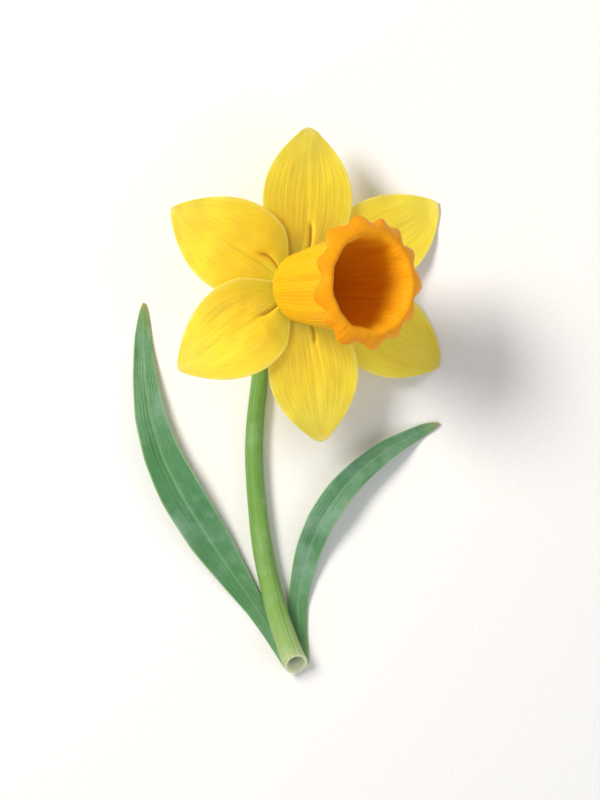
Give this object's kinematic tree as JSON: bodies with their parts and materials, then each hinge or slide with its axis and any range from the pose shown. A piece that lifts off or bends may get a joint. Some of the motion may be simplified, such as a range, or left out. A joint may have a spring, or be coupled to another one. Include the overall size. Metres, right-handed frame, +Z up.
{
  "type": "daffodil flower",
  "caption": "Cut trumpet daffodil lying face up: stem with neck and spathe, ruffled corona on a ring of tepals, stamens and pistil inside, and two strap leaves.",
  "frame": {"origin": "bottom centre of the box round the whole plant as it lies, on the surface that it lies on", "axes": "+Z up from the surface, +Y along the stem from the cut towards the flower, +X to the right as the flower is seen from above"},
  "size_m": [0.0988, 0.1737, 0.0723],
  "materials": {
    "stem": "smooth, slightly waxy green stalk",
    "spathe": "dry, papery, finely veined sheath",
    "pistil": "smooth green ovary, with a pale yellow style",
    "floral_tube": "smooth greenish yellow, with powdery golden anthers",
    "tepal": "satin yellow petal with fine lengthwise veins",
    "corona": "satin golden yellow, ribbed, deeper in the throat and at the frilled lip",
    "leaf": "bluish green with a pale bloom and parallel veins"
  },
  "bodies": {
    "root": {"stem": "stem", "spathe": "spathe", "pistil": "pistil", "floral_tube": "floral_tube", "corona": "corona", "tepal_top": "tepal", "tepal_upper_left": "tepal", "tepal_lower_left": "tepal", "tepal_bottom": "tepal", "tepal_lower_right": "tepal", "tepal_upper_right": "tepal", "leaf_left": "leaf", "leaf_right": "leaf"}
  },
  "joints": []
}
